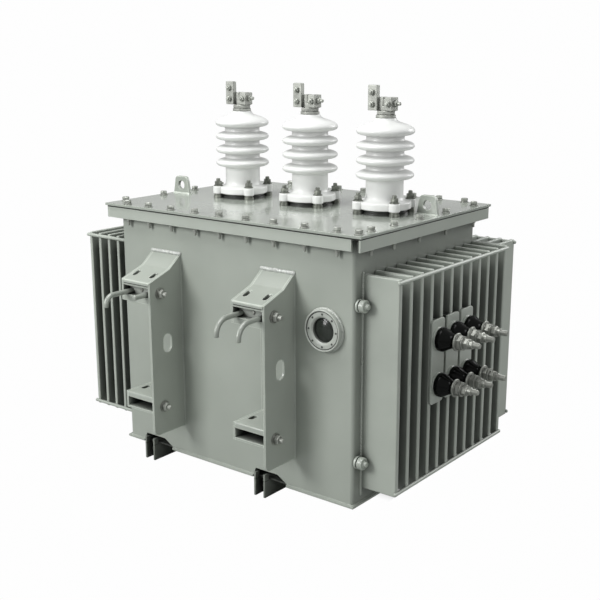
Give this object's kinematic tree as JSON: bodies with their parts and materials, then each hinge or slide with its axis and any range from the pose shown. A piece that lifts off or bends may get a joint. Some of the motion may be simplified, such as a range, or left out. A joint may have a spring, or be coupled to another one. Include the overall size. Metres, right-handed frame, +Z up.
{
  "type": "distribution transformer",
  "caption": "Oil-filled three-phase distribution transformer: finned steel tank, white porcelain bushings on a bolted cover, and hanger brackets for a pole",
  "frame": {"origin": "middle of the outline on the floor, under the base rails", "axes": "+X to the low voltage side, -Y to the front wall with the hanger brackets, +Z up"},
  "size_m": [1.123, 0.8105, 1.002],
  "materials": {
    "tank_paint": "semi-gloss grey-green enamel",
    "cover_paint": "glossy grey-green enamel",
    "bracket_paint": "semi-gloss grey-green enamel",
    "cooler_paint": "semi-gloss grey-green enamel",
    "gasket": "matt black",
    "ring_metal": "dark painted ring with gasket",
    "porcelain": "white glazed porcelain",
    "terminal_metal": "tinned and zinc-plated metal",
    "zinc_metal": "zinc-plated steel",
    "black_insulator": "glossy black resin",
    "gauge_glass": "clear sight glass over dark oil"
  },
  "bodies": {
    "root": {"front_wall": "tank_paint", "back_wall": "tank_paint", "left_wall": "tank_paint", "right_wall": "tank_paint", "base_plate": "tank_paint", "base_rail_left": "tank_paint", "base_rail_right": "tank_paint", "rim_front": "tank_paint", "rim_back": "tank_paint", "rim_left": "tank_paint", "rim_right": "tank_paint", "cover_gasket": "gasket", "cover_plate": "cover_paint", "lifting_lug_left": "tank_paint", "lifting_lug_right": "tank_paint", "hv_ring_left": "ring_metal", "hv_ring_middle": "ring_metal", "hv_ring_right": "ring_metal", "hv_porcelain_left": "porcelain", "hv_porcelain_middle": "porcelain", "hv_porcelain_right": "porcelain", "hv_terminal_left": "terminal_metal", "hv_terminal_middle": "terminal_metal", "hv_terminal_right": "terminal_metal", "right_fins": "cooler_paint", "right_fin_rods": "cooler_paint", "left_panels": "cooler_paint", "left_panel_rods": "cooler_paint", "left_headers": "cooler_paint", "rear_sheet": "cooler_paint", "rear_fins": "cooler_paint", "rear_fin_rods": "cooler_paint", "bracket_left_side": "bracket_paint", "bracket_left_web": "bracket_paint", "bracket_left_top": "bracket_paint", "bracket_left_shelf": "bracket_paint", "bracket_left_hooks": "bracket_paint", "bracket_right_side": "bracket_paint", "bracket_right_web": "bracket_paint", "bracket_right_top": "bracket_paint", "bracket_right_shelf": "bracket_paint", "bracket_right_hooks": "bracket_paint", "gauge_flange": "tank_paint", "gauge_ring": "tank_paint", "gauge_glass": "gauge_glass", "earth_bosses": "zinc_metal", "lv_ducts": "tank_paint", "lv_plates": "tank_paint", "lv_rings": "zinc_metal", "lv_insulators": "black_insulator", "lv_terminals": "terminal_metal"}
  },
  "joints": []
}
